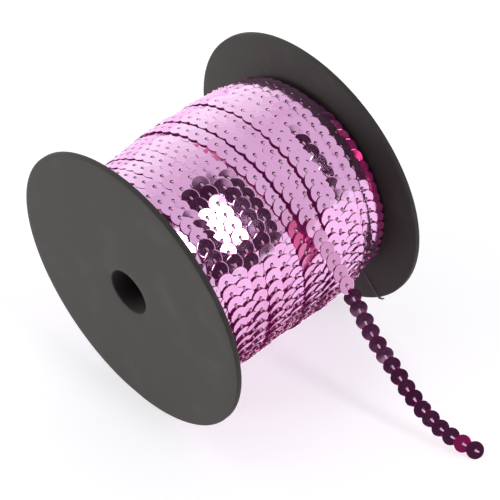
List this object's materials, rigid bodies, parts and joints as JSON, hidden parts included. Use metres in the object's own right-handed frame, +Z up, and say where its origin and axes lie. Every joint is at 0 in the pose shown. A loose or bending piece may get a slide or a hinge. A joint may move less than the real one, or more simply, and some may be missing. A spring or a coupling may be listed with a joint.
{
  "type": "sequin trim on a flanged spool",
  "caption": "Round sequin trim wound on a flanged plastic spool lying on its rims, with a central bore and the trim's loose end running down to the surface.",
  "frame": {"origin": "on the surface the spool rests on, under the middle of the spool", "axes": "+X along the spool's axis from the front flange to the back flange that has the thread slit, +Z up, and the loose end comes off towards -Y"},
  "size_m": [0.08, 0.1478, 0.0995],
  "materials": {
    "spool_plastic": "moulded, matte, dark grey",
    "sequin_film": "metallised pink film, glossy"
  },
  "bodies": {
    "root": {"front_flange": "spool_plastic", "back_flange": "spool_plastic", "core_tube": "spool_plastic", "wound_trim": "sequin_film", "loose_end": "sequin_film"}
  },
  "joints": []
}
